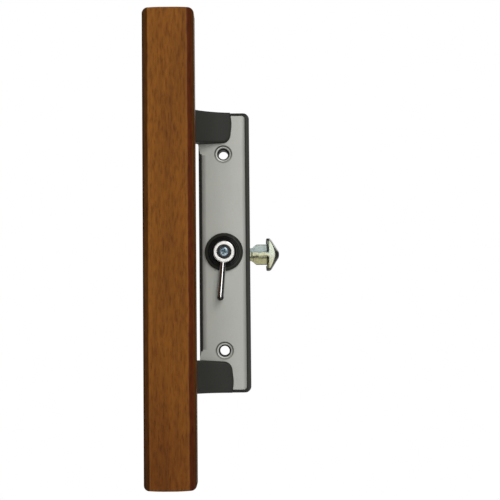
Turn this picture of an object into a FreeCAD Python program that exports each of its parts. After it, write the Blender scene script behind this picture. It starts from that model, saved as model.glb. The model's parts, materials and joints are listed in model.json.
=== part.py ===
import FreeCAD, Part
import math
import os

V = FreeCAD.Vector

# Interior handle of a sliding patio door, in millimetres.
# +X points right as seen from the room, +Z up, +Y into the door.
# Y = 0 is the door's face. The origin is midway between the two screw holes, on the thumb turn's axis.

# Plate casting
hole_spacing = 125.4
hole_to_arm = 7.2
plate_width = 32.5
plate_shift = 0.4
plate_depth = 12.0
plate_corner = 4.0
wall = 2.0
front_wall = 2.0
end_rim = 2.0
rim_bevel = 1.6
face_recess = 1.2
screw_bore_radius = 3.05
screw_bore_bevel = 0.8
post_radius = 6.6

# Silver face plate, crowned across its width
face_width = 27.9
face_edge_thickness = 1.0
face_crown = 0.4
face_gap = 0.1
tab_length = 6.9
tab_proud = 0.4
tab_taper = 1.4
ring_groove_radius = 5.35
ring_groove_width = 0.6
ring_groove_depth = 0.9
face_hole_radius = 3.9
face_hole_bevel = 0.4

# Arms that carry the grip
arm_height = 19.4
arm_end_x = 5.5
arm_outer_setback = 0.9
arm_inner_setback = 1.5
arm_end_radius = 20.0
arm_end_proud = 2.4
arm_edge_round = 1.6
arm_flare = 1.3
arm_outer_flare = 0.4
arm_lean = 0.6
arm_sweep_radius = 31.0
arm_slope = 43.6
arm_corner_radius = 5.5
arm_gap = 0.1
pad_thickness = 4.4
pad_edge_setback = 0.4
pad_back_round = 1.2
underside_radius = 14.0
underside_reach = 11.5

# Wooden grip
grip_length = 292.1
grip_width = 31.75
grip_thickness = 22.0
grip_standoff = 35.0
grip_offset = 32.5
grip_rise = 1.3
grip_chamfer_x = 3.5
grip_chamfer_y = 3.3
grip_edge_round = 0.9
grip_crown = 0.9
grip_end_round = 3.0
grip_face_round = 1.4

# Thumb turn
bezel_radius = 12.15
bezel_height = 2.4
bezel_bevel_width = 1.9
bezel_bevel_drop = 1.1
bezel_dish = 1.3
bezel_ring_count = 3
bezel_ring_width = 1.05
bezel_ring_drop = 0.3
bezel_ring_bevel = 0.25
bezel_edge_round = 0.3
bezel_foot_round = 0.2
bezel_neck_radius = 5.0
hub_radius = 6.9
hub_rise = 5.4
hub_lip_round = 0.7
hub_foot_taper = 0.4
hub_foot_height = 1.5
hub_recess_radius = 4.5
hub_recess_depth = 3.0
lever_length = 31.1
lever_root_radius = 1.9
lever_tip_radius = 2.1
lever_lean = 4.8
lever_root_sink = 0.6
lever_washer_thickness = 0.6
lever_washer_gap = 0.3

# Spindle and crank
spindle_radius = 3.0
spindle_square = 4.2
tail_radius = 2.05
tail_slot_width = 1.3
tail_slot_depth = 3.0
crank_thickness = 2.0
crank_hub_radius = 5.2
crank_pin_radius = 1.5
crank_lobe_wall = 1.3
wave_washer_thickness = 0.5
clip_thickness = 0.5
clip_radius = 3.6
clip_groove_radius = 1.6

# Latch bolt and its slide
bolt_travel = 8.0
bolt_rest_drop = 1.6
bolt_axis_depth = 5.6
slide_thickness = 2.2
slide_margin = 9.4
slide_corner = 2.5
rail_width = 2.2
yoke_gap = 0.27
window_gap = 0.5
stem_half_height = 4.0
stem_half_depth = 2.8
stem_length = 8.4
neck_standout = 1.0
fin_run = 2.9
fin_half_height = 6.5
fin_half_depth = 5.3
fin_thickness = 2.5
fin_shoulder_round = 1.5
fin_root_sink = 0.4
fin_foot_round = 1.5
ridge_above = 1.5
ridge_below = 1.4
ridge_below_end = 0.6
ridge_shoulder_round = 0.5
ridge_upper_foot_round = 0.8
ridge_lower_foot_round = 1.7
foot_sink = 0.2
head_standout = 10.3
head_length = 8.3
head_radius = 10.5
head_rim_width = 2.8
head_rim_curl = 1.7
head_rim_wall = 1.4
head_rim_round = 2.2
head_nose_radius = 1.6
head_nose_round = 4.0
rivet_radius = 1.1
rivet_head_radius = 1.9
rivet_spread = 2.3
rivet_bite = 0.7

# Back cover and screws
cover_thickness = 1.2
cover_length = 80.0
cover_corner = 3.0
cover_screw_radius = 1.5
cover_screw_head_radius = 2.8
cover_screw_length = 5.0
cover_post_radius = 3.2
cover_post_sink = 0.2
cover_post_inset = 0.8
arm_screw_radius = 1.75
arm_screw_head_radius = 3.2
arm_screw_spread = 8.2
arm_screw_inset = 5.7
arm_screw_bite = 3.4
grip_screw_radius = 2.0
grip_screw_head_radius = 3.6
grip_screw_spread = 9.4
grip_screw_inset = 2.0
grip_screw_bite = 14.0
lever_screw_radius = 1.5
lever_screw_head_radius = 3.15
lever_screw_bite = 4.0
lever_screw_turn = 20.0
head_height_ratio = 0.55
head_round_ratio = 0.6
recess_size_ratio = 1.15
recess_slot_ratio = 0.17

# Clearances
slide_gap = 0.3
running_gap = 0.05
thread_gap = 0.04
pilot_gap = 0.5
rivet_gap = 0.3

# How far a cutting shape reaches past the surface it cuts, and how close counts as on a plane
overshoot = 1.0
tolerance = 0.001

# Planes and places that follow from the sizes above
plate_length = hole_spacing + 2 * (hole_to_arm + arm_height)
seat_y = -(plate_depth - face_recess)
inner_y = seat_y + front_wall
face_front_y = seat_y - face_edge_thickness - face_crown
left_x = plate_shift - plate_width / 2
right_x = plate_shift + plate_width / 2
half_length = plate_length / 2
cavity_left_x = left_x + wall
cavity_right_x = right_x - wall
arm_inner_z = half_length - arm_height
arm_middle_z = half_length - arm_height / 2
arm_front_y = -plate_depth - arm_end_proud
grip_back_y = -grip_standoff
grip_front_y = grip_back_y - grip_thickness
grip_x = -grip_offset
pad_back_y = grip_back_y + pad_thickness
pad_outer_x = grip_x - grip_width / 2 + grip_chamfer_x + pad_edge_setback
crank_radius = bolt_travel / 2 / math.sin(math.radians(45))
crank_front_y = inner_y + wave_washer_thickness
crank_back_y = crank_front_y + crank_thickness
slide_back_y = -cover_thickness - slide_gap
slide_front_y = slide_back_y - slide_thickness
bolt_y = -bolt_axis_depth
bolt_z = -bolt_rest_drop
stem_inner_x = right_x - stem_length
neck_x = right_x + neck_standout
fin_full_x = neck_x + fin_run
head_back_x = right_x + head_standout
head_under_x = head_back_x + head_rim_curl
head_rim_x = head_back_x + head_rim_width
head_apex_x = head_back_x + head_length
dish_y = face_front_y - bezel_height + bezel_dish
hub_back_y = dish_y - slide_gap
hub_front_y = hub_back_y - hub_rise
recess_y = hub_front_y + hub_recess_depth
lever_y = face_front_y - bezel_height - slide_gap - lever_tip_radius


def box(x_from, x_to, y_from, y_to, z_from, z_to):
    """Block between two corners."""
    return Part.makeBox(x_to - x_from, y_to - y_from, z_to - z_from, V(x_from, y_from, z_from))


def rod_y(x, z, radius, y_from, y_to):
    """Cylinder along Y."""
    return Part.makeCylinder(radius, y_to - y_from, V(x, y_from, z), V(0, 1, 0))


def cone_y(x, z, radius_from, radius_to, y_from, y_to):
    """Cone along Y, with its two end radii."""
    return Part.makeCone(radius_from, radius_to, y_to - y_from, V(x, y_from, z), V(0, 1, 0))


def square_y(side, y_from, y_to):
    """Square bar along the thumb turn's axis."""
    return box(-side / 2, side / 2, y_from, y_to, -side / 2, side / 2)


def outline(corners, radii):
    """Closed wire through the corners, each rounded by its own radius."""
    count = len(corners)
    turns = []
    for i in range(count):
        corner = corners[i]
        before = (corners[i - 1] - corner).normalize()
        after = (corners[(i + 1) % count] - corner).normalize()
        if radii[i] == 0:
            turns.append((corner, None, corner))
            continue
        half_angle = before.getAngle(after) / 2
        reach = radii[i] / math.tan(half_angle)
        middle = corner + (before + after).normalize() * (radii[i] / math.sin(half_angle) - radii[i])
        turns.append((corner + before * reach, middle, corner + after * reach))
    edges = []
    for i in range(count):
        first, middle, last = turns[i]
        following = turns[(i + 1) % count][0]
        if middle is not None:
            edges.append(Part.Arc(first, middle, last).toShape())
        if (following - last).Length > tolerance:
            edges.append(Part.LineSegment(last, following).toShape())
    return Part.Wire(edges)


def prism_y(corners, radii, y_from, y_to):
    """Solid with a front-view outline, given as (x, z) corners."""
    points = [V(x, y_from, z) for x, z in corners]
    return Part.Face(outline(points, radii)).extrude(V(0, y_to - y_from, 0))


def prism_z(corners, radii, z_from, z_to):
    """Solid with a top-view outline, given as (x, y) corners."""
    points = [V(x, y, z_from) for x, y in corners]
    return Part.Face(outline(points, radii)).extrude(V(0, 0, z_to - z_from))


def prism_x(corners, radii, x_from, x_to):
    """Solid with a side-view outline, given as (y, z) corners."""
    points = [V(x_from, y, z) for y, z in corners]
    return Part.Face(outline(points, radii)).extrude(V(x_to - x_from, 0, 0))


def turned(corners, radii):
    """Solid turned about the thumb turn's axis, given as (radius, y) corners."""
    points = [V(r, y, 0) for r, y in corners]
    return Part.Face(outline(points, radii)).revolve(V(0, 0, 0), V(0, 1, 0), 360)


def rounded_plate(middle_x, width, length, corner, y_from, y_to):
    """Flat upright plate with four round corners."""
    low = middle_x - width / 2
    high = middle_x + width / 2
    z = length / 2
    return prism_y([(low, -z), (high, -z), (high, z), (low, z)], [corner] * 4, y_from, y_to)


def flipped(shape):
    """The same shape at the plate's other end."""
    return shape.mirror(V(0, 0, 0), V(0, 0, 1))


def both_ends(shape):
    """The shape and its copy at the plate's other end."""
    return [shape, flipped(shape)]


def cross_recess(x, z, size, y_top, y_bottom):
    """Cross-shaped driver recess, cut into a screw head."""
    arm = size / 2
    thin = size * recess_slot_ratio
    flat = box(x - arm, x + arm, min(y_top, y_bottom), max(y_top, y_bottom), z - thin, z + thin)
    upright = box(x - thin, x + thin, min(y_top, y_bottom), max(y_top, y_bottom), z - arm, z + arm)
    return flat.fuse(upright)


def pan_screw(x, z, seat, toward, head_radius, shank_radius, length):
    """Pan-head screw along Y. Its head stands on the seat plane, on the side that toward gives."""
    height = head_radius * head_height_ratio
    top = seat + toward * height
    tip = seat - toward * length
    head = rod_y(x, z, head_radius, min(seat, top), max(seat, top))
    rims = [e for e in head.Edges if len(e.Vertexes) == 1]
    crown = [e for e in rims if abs(e.CenterOfMass.y - top) < tolerance]
    head = head.makeFillet(height * head_round_ratio, crown)
    shank = rod_y(x, z, shank_radius, min(seat, tip), max(seat, tip))
    recess_end = seat + toward * height * (1 - head_round_ratio)
    recess = cross_recess(x, z, head_radius * recess_size_ratio, top, recess_end)
    return head.fuse(shank).cut(recess)


def arm_lift(x):
    """How much higher an arm lies at x than at its end on the plate, for both arms alike."""
    return arm_lean * (arm_end_x - x) / (arm_end_x - grip_x)


def arm_outline(grow, lift, y_from, y_to):
    """Upper arm seen from the front: a round end over the plate, flared and leaning towards the grip."""
    top = half_length + grow
    low = arm_inner_z - grow
    end = arm_end_x + grow
    far = pad_outer_x - overshoot
    plain = [
        (far, top + arm_outer_flare),
        (end - arm_outer_setback, top),
        (end, arm_middle_z + arm_height / 8),
        (end - arm_inner_setback, low),
        (grip_x + grip_width / 4, low - arm_flare),
        (far, low - arm_flare),
    ]
    corners = [(x, z + lift * arm_lift(x)) for x, z in plain]
    return prism_y(corners, [0, 0, arm_end_radius, arm_corner_radius, 0, 0], y_from, y_to)


def arm_profile():
    """Arm seen from above: a foot on the plate, a swept rise and a flat pad behind the grip."""
    slope = math.tan(math.radians(arm_slope))
    tangent = arm_sweep_radius * math.tan(math.radians(arm_slope / 2))
    knee_x = arm_end_x - tangent
    pad_inner_x = knee_x - (arm_front_y - grip_back_y) / slope
    beyond_x = arm_end_x + overshoot
    corners = [
        (beyond_x, seat_y),
        (left_x, seat_y),
        (left_x - underside_reach, pad_back_y),
        (pad_outer_x, pad_back_y),
        (pad_outer_x, grip_back_y),
        (pad_inner_x, grip_back_y),
        (knee_x, arm_front_y),
        (beyond_x, arm_front_y),
    ]
    radii = [0, 0, underside_radius, pad_back_round, 0, 0, arm_sweep_radius, 0]
    reach = arm_flare + 2 * arm_lean + overshoot
    return prism_z(corners, radii, arm_inner_z - reach, half_length + reach)


def front_border(solid):
    """Edges round the swept front of the arm, without the pad's plane behind the grip."""
    fronts = []
    for face in solid.Faces:
        centre = face.CenterOfMass
        u, v = face.Surface.parameter(centre)
        faces_room = face.normalAt(u, v).y < -math.cos(math.radians(arm_slope)) / 2
        if faces_room and centre.y > grip_back_y + tolerance:
            fronts.append(face)
    edges = [edge for face in fronts for edge in face.Edges]
    border = []
    for edge in edges:
        alike = [other for other in edges if other.isSame(edge)]
        if len(alike) == 1 and edge.CenterOfMass.y > grip_back_y + tolerance:
            border.append(edge)
    return border


def arm_screw_places():
    """Centres of the upper arm's two foot screws, as (x, z)."""
    x = left_x + arm_screw_inset
    return [(x, arm_middle_z + side * arm_screw_spread / 2) for side in (-1, 1)]


def grip_screw_places():
    """Centres of the upper arm's two grip screws, as (x, z)."""
    x = pad_outer_x + grip_screw_head_radius + grip_screw_inset
    return [(x, arm_middle_z + side * grip_screw_spread / 2) for side in (-1, 1)]


def make_arm(lift):
    """Upper arm: sweep and outline combined, rounded round its front, with screw holes."""
    arm = arm_profile().common(arm_outline(0, lift, grip_back_y - overshoot, 0))
    arm = arm.makeFillet(arm_edge_round, front_border(arm))
    for x, z in arm_screw_places():
        pilot_end = seat_y - arm_screw_bite - pilot_gap
        arm = arm.cut(rod_y(x, z, arm_screw_radius + thread_gap, pilot_end, seat_y))
    for x, z in grip_screw_places():
        hole_z = z + lift * arm_lean
        arm = arm.cut(rod_y(
            x, hole_z, grip_screw_radius + thread_gap, grip_back_y - overshoot, pad_back_y + overshoot))
    return arm


def arm_notches(y_from, y_to):
    """Room for the two arms, with a gap all round."""
    return [arm_outline(arm_gap, 1, y_from, y_to), flipped(arm_outline(arm_gap, -1, y_from, y_to))]


def face_blank(grow, y_from, y_to):
    """Front outline of the face plate, with its two slanted tabs to the left edge."""
    length = plate_length - 2 * end_rim + 2 * grow
    blank = rounded_plate(0, face_width + 2 * grow, length, plate_corner - end_rim + grow, y_from, y_to)
    tab_low = arm_inner_z - tab_length - grow
    tab_left = left_x - tab_proud - grow
    tab_right = wall - face_width / 2
    tab = prism_y(
        [
            (tab_left + tab_taper, tab_low), (tab_right, tab_low),
            (tab_right, arm_inner_z), (tab_left, arm_inner_z),
        ],
        [0] * 4, y_from, y_to)
    return blank.fuse(both_ends(tab))


def make_face_plate():
    """Thin silver plate with a crowned front, a ring groove round each hole and a notch for each arm."""
    half = face_width / 2
    radius = (half ** 2 + face_crown ** 2) / (2 * face_crown)
    reach = plate_width / 2 + plate_shift + tab_proud + overshoot
    end_y = face_front_y + radius - math.sqrt(radius ** 2 - reach ** 2)
    top = -half_length
    left_back = V(-reach, seat_y, top)
    left_front = V(-reach, end_y, top)
    right_front = V(reach, end_y, top)
    right_back = V(reach, seat_y, top)
    section = Part.Wire([
        Part.LineSegment(right_back, left_back).toShape(),
        Part.LineSegment(left_back, left_front).toShape(),
        Part.Arc(left_front, V(0, face_front_y, top), right_front).toShape(),
        Part.LineSegment(right_front, right_back).toShape(),
    ])
    plate = Part.Face(section).extrude(V(0, 0, plate_length))
    above_y = face_front_y - overshoot
    plate = plate.common(face_blank(0, above_y, seat_y))
    plate = plate.cut(arm_notches(above_y, seat_y))
    hole_z = hole_spacing / 2
    floor_y = face_front_y + ring_groove_depth
    groove = rod_y(0, hole_z, ring_groove_radius, above_y, floor_y)
    groove = groove.cut(rod_y(0, hole_z, ring_groove_radius - ring_groove_width, above_y, floor_y))
    bevel = cone_y(
        0, hole_z, face_hole_radius + face_hole_bevel, face_hole_radius,
        face_front_y, face_front_y + face_hole_bevel)
    hole = rod_y(0, hole_z, face_hole_radius, above_y, seat_y)
    plate = plate.cut(both_ends(groove) + both_ends(bevel) + both_ends(hole))
    return plate.cut(rod_y(0, 0, bezel_neck_radius + face_gap, above_y, seat_y))


def cover_post_places():
    """Centres of the four posts that hold the back cover, as (x, z)."""
    left = cavity_left_x + cover_post_radius - cover_post_sink
    right = cavity_right_x - cover_post_radius + cover_post_sink
    z = cover_length / 2 - cover_post_radius - cover_post_inset
    return [(x, end * z) for x in (left, right) for end in (-1, 1)]


def make_slide_rails():
    """Ledges along the side walls, which keep the slide against the cover."""
    low_y = slide_front_y - slide_gap
    left_from = cavity_left_x - wall / 4
    left_to = cavity_left_x + rail_width
    right_from = cavity_right_x - rail_width
    right_to = cavity_right_x + wall / 4
    front_y = inner_y - front_wall / 4
    slide_low = bolt_z - slide_margin - 2 * stem_half_height
    slide_high = -slide_low
    bolt_low = bolt_z - stem_half_height - 2 * slide_gap
    bolt_high = bolt_z + stem_half_height + bolt_travel + 2 * slide_gap
    left = box(left_from, left_to, front_y, low_y, slide_low, slide_high)
    right_low = box(right_from, right_to, front_y, low_y, slide_low, bolt_low)
    right_high = box(right_from, right_to, front_y, low_y, bolt_high, slide_high)
    return [left, right_low, right_high]


def make_housing():
    """Hollow plate casting: bevelled rim, posts, rails, arm seats and the bolt's side slot."""
    body = rounded_plate(plate_shift, plate_width, plate_length, plate_corner, -plate_depth, 0)
    rim_edges = [e for e in body.Edges if abs(e.CenterOfMass.y + plate_depth) < tolerance]
    body = body.makeChamfer(rim_bevel, rim_edges)
    cavity_width = plate_width - 2 * wall
    cavity_length = plate_length - 2 * wall
    cavity = rounded_plate(
        plate_shift, cavity_width, cavity_length, plate_corner - wall, inner_y, overshoot)
    body = body.cut(cavity)
    root_y = inner_y - front_wall / 4
    hole_z = hole_spacing / 2
    posts = both_ends(rod_y(0, hole_z, post_radius, root_y, 0))
    cover_posts = [
        rod_y(x, z, cover_post_radius, root_y, -cover_thickness) for x, z in cover_post_places()]
    body = body.fuse(posts + cover_posts + make_slide_rails())
    above_y = -plate_depth - overshoot
    body = body.cut(face_blank(face_gap, above_y, seat_y))
    body = body.cut(arm_notches(above_y, seat_y))
    bevel = cone_y(
        0, hole_z, screw_bore_radius + screw_bore_bevel, screw_bore_radius,
        seat_y, seat_y + screw_bore_bevel)
    body = body.cut(both_ends(bevel))
    body = body.cut(both_ends(rod_y(0, hole_z, screw_bore_radius, above_y, overshoot)))
    body = body.cut(rod_y(0, 0, bezel_neck_radius + running_gap, above_y, 0))
    for x, z in arm_screw_places():
        hole = rod_y(x, z, arm_screw_radius + thread_gap, above_y, inner_y + overshoot)
        body = body.cut(both_ends(hole))
    for x, z in cover_post_places():
        pilot_end = -cover_thickness - cover_screw_length - pilot_gap
        body = body.cut(rod_y(x, z, cover_screw_radius + thread_gap, pilot_end, 0))
    slot_low = bolt_z - stem_half_height - slide_gap
    slot_high = bolt_z + stem_half_height + bolt_travel + slide_gap
    slot_front = bolt_y - stem_half_depth - slide_gap
    slot_back = bolt_y + stem_half_depth + slide_gap
    slot = box(
        cavity_right_x - overshoot, right_x + overshoot, slot_front, slot_back, slot_low, slot_high)
    return body.cut(slot)


def grip_end_outline(left, right, half_z):
    """Front view of the grip: straight sides and two crowned ends with round corners."""
    side_z = half_z - grip_crown
    low_left = V(left, grip_front_y - overshoot, -side_z)
    low_right = V(right, grip_front_y - overshoot, -side_z)
    high_right = V(right, grip_front_y - overshoot, side_z)
    high_left = V(left, grip_front_y - overshoot, side_z)
    wire = Part.Wire([
        Part.Arc(low_left, V(grip_x, grip_front_y - overshoot, -half_z), low_right).toShape(),
        Part.LineSegment(low_right, high_right).toShape(),
        Part.Arc(high_right, V(grip_x, grip_front_y - overshoot, half_z), high_left).toShape(),
        Part.LineSegment(high_left, low_left).toShape(),
    ])
    solid = Part.Face(wire).extrude(V(0, grip_thickness + 2 * overshoot, 0))
    corners = [e for e in solid.Edges if e.BoundBox.YLength > grip_thickness]
    return solid.makeFillet(grip_end_round, corners)


def make_grip():
    """Wooden bar with an octagonal section and softly crowned ends."""
    half_x = grip_width / 2
    half_z = grip_length / 2
    left = grip_x - half_x
    right = grip_x + half_x
    cx = grip_chamfer_x
    cy = grip_chamfer_y
    section = [
        (left + cx, grip_back_y), (left, grip_back_y - cy),
        (left, grip_front_y + cy), (left + cx, grip_front_y),
        (right - cx, grip_front_y), (right, grip_front_y + cy),
        (right, grip_back_y - cy), (right - cx, grip_back_y),
    ]
    bar = prism_z(section, [grip_edge_round] * 8, -half_z, half_z)
    shoulders = [
        (grip_front_y, -half_z), (grip_back_y, -half_z), (grip_back_y, half_z), (grip_front_y, half_z)]
    side_cut = prism_x(shoulders, [grip_face_round] * 4, left - overshoot, right + overshoot)
    bar = bar.common(grip_end_outline(left, right, half_z)).common(side_cut)
    bar.translate(V(0, 0, grip_rise))
    for x, z in grip_screw_places():
        for end in (-1, 1):
            bar = bar.cut(rod_y(
                x, end * z + arm_lean, grip_screw_radius + thread_gap,
                grip_back_y - grip_screw_bite - pilot_gap, grip_back_y + overshoot))
    return bar


def make_bezel():
    """Black boss with a bevelled rim, rings stepping down to its floor and a neck through the plate."""
    rim_y = face_front_y - bezel_height
    floor_y = rim_y + bezel_dish
    lip = bezel_radius - bezel_bevel_width
    bore = spindle_radius + running_gap
    corners = [
        (bezel_neck_radius, face_front_y),
        (bezel_radius, face_front_y),
        (bezel_radius, rim_y + bezel_bevel_drop),
        (lip, rim_y),
    ]
    radii = [0, bezel_foot_round, bezel_edge_round, bezel_edge_round]
    for step in range(1, bezel_ring_count + 1):
        ring = lip - step * bezel_ring_width
        ring_y = rim_y + step * bezel_ring_drop
        corners.append((ring + bezel_ring_bevel, ring_y - bezel_ring_drop))
        corners.append((ring, ring_y))
        radii.extend([0, 0])
    ring_floor = lip - (bezel_ring_count + 1) * bezel_ring_width
    corners.extend([(ring_floor, floor_y), (bore, floor_y), (bore, inner_y), (bezel_neck_radius, inner_y)])
    radii.extend([0, 0, 0, 0])
    return turned(corners, radii)


def make_thumb_lever():
    """Chrome cup with a rounded lip and a slightly thickening rod, one casting."""
    cup = turned(
        [
            (0, hub_back_y), (hub_radius - hub_foot_taper, hub_back_y),
            (hub_radius, hub_back_y - hub_foot_height),
            (hub_radius, hub_front_y), (hub_recess_radius, hub_front_y),
            (hub_recess_radius, recess_y), (0, recess_y),
        ],
        [0, hub_foot_taper / 2, hub_foot_taper, hub_lip_round, hub_lip_round / 2, lever_washer_gap, 0])
    reach = lever_length - lever_tip_radius
    root = hub_recess_radius + lever_root_sink
    direction = V(-math.sin(math.radians(lever_lean)), 0, -math.cos(math.radians(lever_lean)))
    start = V(0, lever_y, 0) + direction * root
    tip = V(0, lever_y, 0) + direction * reach
    rod = Part.makeCone(lever_root_radius, lever_tip_radius, reach - root, start, direction)
    rounded_tip = Part.makeSphere(lever_tip_radius, tip)
    lever = cup.fuse([rod, rounded_tip])
    drive = square_y(spindle_square + 2 * running_gap, recess_y - overshoot, hub_back_y + overshoot)
    return lever.cut(drive)


def make_lever_washer():
    """Dark washer in the cup, under the screw."""
    low = recess_y - lever_washer_thickness
    ring = rod_y(0, 0, hub_recess_radius - lever_washer_gap, low, recess_y)
    return ring.cut(rod_y(0, 0, lever_screw_radius + thread_gap, low - overshoot, recess_y + overshoot))


def make_spindle():
    """Shaft with two square drives, a round journal, a clip groove and a slotted tail."""
    front_y = recess_y + slide_gap
    tail_y = -slide_gap
    journal_y = hub_back_y + slide_gap / 2
    shaft = square_y(spindle_square, front_y, journal_y)
    shaft = shaft.fuse([
        rod_y(0, 0, spindle_radius, journal_y, crank_front_y),
        square_y(spindle_square, crank_front_y, crank_back_y),
        rod_y(0, 0, tail_radius, crank_back_y, tail_y),
    ])
    groove_back = crank_back_y + clip_thickness + running_gap
    groove = rod_y(0, 0, spindle_radius, crank_back_y, groove_back)
    shaft = shaft.cut(groove.cut(rod_y(0, 0, clip_groove_radius, crank_back_y, groove_back)))
    slot = box(
        -tail_slot_width / 2, tail_slot_width / 2, tail_y - tail_slot_depth, overshoot,
        -spindle_radius, spindle_radius)
    pilot_depth = recess_y - lever_washer_thickness + lever_screw_bite + pilot_gap
    pilot = rod_y(0, 0, lever_screw_radius + thread_gap, front_y - overshoot, pilot_depth)
    return shaft.cut([slot, pilot])


def make_wave_washer():
    """Spring washer between the plate's inner face and the crank."""
    ring = rod_y(0, 0, crank_hub_radius, inner_y, crank_front_y)
    bore = rod_y(0, 0, spindle_radius + running_gap, inner_y - overshoot, crank_front_y + overshoot)
    return ring.cut(bore)


def crank_pin_place():
    """Centre of the crank pin at rest, low on the left, as (x, z)."""
    offset = crank_radius * math.sin(math.radians(45))
    return -offset, -offset


def make_crank():
    """Stamped arm with a square hole, from the spindle to the crank pin."""
    x, z = crank_pin_place()
    lobe_radius = crank_pin_radius + crank_lobe_wall
    hub = rod_y(0, 0, crank_hub_radius, crank_front_y, crank_back_y)
    lobe = rod_y(x, z, lobe_radius, crank_front_y, crank_back_y)
    web = box(-crank_radius, 0, crank_front_y, crank_back_y, -lobe_radius, lobe_radius)
    web.rotate(V(0, 0, 0), V(0, 1, 0), -45)
    arm = hub.fuse([lobe, web]).removeSplitter()
    below_y = crank_front_y - overshoot
    above_y = crank_back_y + overshoot
    arm = arm.cut(square_y(spindle_square + 2 * running_gap, below_y, above_y))
    return arm.cut(rod_y(x, z, crank_pin_radius + thread_gap, below_y, above_y))


def make_crank_pin():
    """Pin riveted into the crank, which drives the slide."""
    x, z = crank_pin_place()
    return rod_y(x, z, crank_pin_radius, crank_front_y, slide_back_y - slide_gap)


def make_crank_clip():
    """Open clip in the spindle's groove, behind the crank."""
    back = crank_back_y + clip_thickness
    ring = rod_y(0, 0, clip_radius, crank_back_y, back)
    below_y = crank_back_y - overshoot
    above_y = back + overshoot
    bore = rod_y(0, 0, clip_groove_radius + thread_gap, below_y, above_y)
    mouth = box(0, clip_radius + overshoot, below_y, above_y, -clip_groove_radius, clip_groove_radius)
    return ring.cut([bore, mouth])


def rivet_places():
    """Centres of the two rivets that join the bolt to its slide, as (x, z)."""
    x = (stem_inner_x + cavity_right_x) / 2
    return [(x, bolt_z + side * rivet_spread) for side in (-1, 1)]


def make_bolt_slide():
    """Flat slide with a window round the spindle and a yoke slot for the crank pin."""
    pin_x, pin_z = crank_pin_place()
    window_half = tail_radius + window_gap
    low = -bolt_travel - window_half
    middle_z = (low + window_half) / 2
    half_z = (window_half - low) / 2 + slide_margin
    left = cavity_left_x + slide_gap
    right = cavity_right_x - slide_gap
    bottom = middle_z - half_z
    top = middle_z + half_z
    plate = prism_y(
        [(left, bottom), (right, bottom), (right, top), (left, top)],
        [slide_corner] * 4, slide_front_y, slide_back_y)
    below_y = slide_front_y - overshoot
    above_y = slide_back_y + overshoot
    window = prism_y(
        [(-window_half, low), (window_half, low), (window_half, window_half), (-window_half, window_half)],
        [tail_radius] * 4, below_y, above_y)
    slot_half = crank_pin_radius + yoke_gap
    yoke = box(-crank_radius - slot_half, 0, below_y, above_y, pin_z - slot_half, pin_z + slot_half)
    plate = plate.cut([window, yoke])
    for rivet_x, rivet_z in rivet_places():
        sink = cone_y(
            rivet_x, rivet_z, rivet_radius, rivet_head_radius + thread_gap,
            slide_back_y - slide_thickness / 2, slide_back_y)
        hole = rod_y(rivet_x, rivet_z, rivet_radius + thread_gap, below_y, above_y)
        plate = plate.cut([sink, hole])
    return plate


def bolt_stem():
    """Stem from the slide through the side slot, stepped where it passes the slide."""
    low = bolt_z - stem_half_height
    high = bolt_z + stem_half_height
    back = bolt_y + stem_half_depth
    stem = box(stem_inner_x, neck_x + overshoot, bolt_y - stem_half_depth, back, low, high)
    step = box(
        stem_inner_x - overshoot, cavity_right_x, slide_front_y, 0, low - overshoot, high + overshoot)
    return stem.cut(step)


def bolt_side_fins():
    """Upper and lower fin: they widen behind the neck and flare in a hollow round into the head."""
    half = fin_thickness / 2
    side = [
        (neck_x - fin_root_sink, stem_half_height), (neck_x, stem_half_height),
        (fin_full_x, fin_half_height), (head_rim_x, fin_half_height),
    ]
    low = [(x, bolt_z - across) for x, across in side]
    high = [(x, bolt_z + across) for x, across in reversed(side)]
    side_radii = [0, fin_shoulder_round, fin_shoulder_round, 0]
    fins = prism_y(low + high, side_radii + side_radii, bolt_y - half, bolt_y + half)
    wide = half + fin_foot_round + foot_sink
    foot_x = head_under_x - fin_foot_round - foot_sink
    foot = prism_z(
        [(foot_x, bolt_y - half), (head_under_x, bolt_y - half), (head_under_x, bolt_y - wide),
         (head_rim_x, bolt_y - wide), (head_rim_x, bolt_y + wide), (head_under_x, bolt_y + wide),
         (head_under_x, bolt_y + half), (foot_x, bolt_y + half)],
        [0, fin_foot_round, 0, 0, 0, 0, fin_foot_round, 0],
        bolt_z - fin_half_height, bolt_z + fin_half_height)
    return [fins, foot]


def bolt_ridges():
    """Front and back fin: a ridge that narrows towards the head and flares into it."""
    front = bolt_y - fin_half_depth
    back = bolt_y + fin_half_depth
    top = bolt_z + ridge_above
    foot_top = top + ridge_upper_foot_round + foot_sink
    end = bolt_z - ridge_below_end
    foot_end = end - ridge_lower_foot_round - foot_sink
    ridges = prism_y(
        [(neck_x, top), (head_under_x, top), (head_under_x, foot_top), (head_rim_x, foot_top),
         (head_rim_x, foot_end), (head_under_x, foot_end), (head_under_x, end),
         (neck_x, bolt_z - ridge_below)],
        [0, ridge_upper_foot_round, 0, 0, 0, 0, ridge_lower_foot_round, 0], front, back)
    shoulders = prism_z(
        [(neck_x, front), (head_rim_x, front), (head_rim_x, back), (neck_x, back)],
        [ridge_shoulder_round, 0, 0, ridge_shoulder_round], foot_end, foot_top)
    return ridges.common(shoulders)


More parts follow.
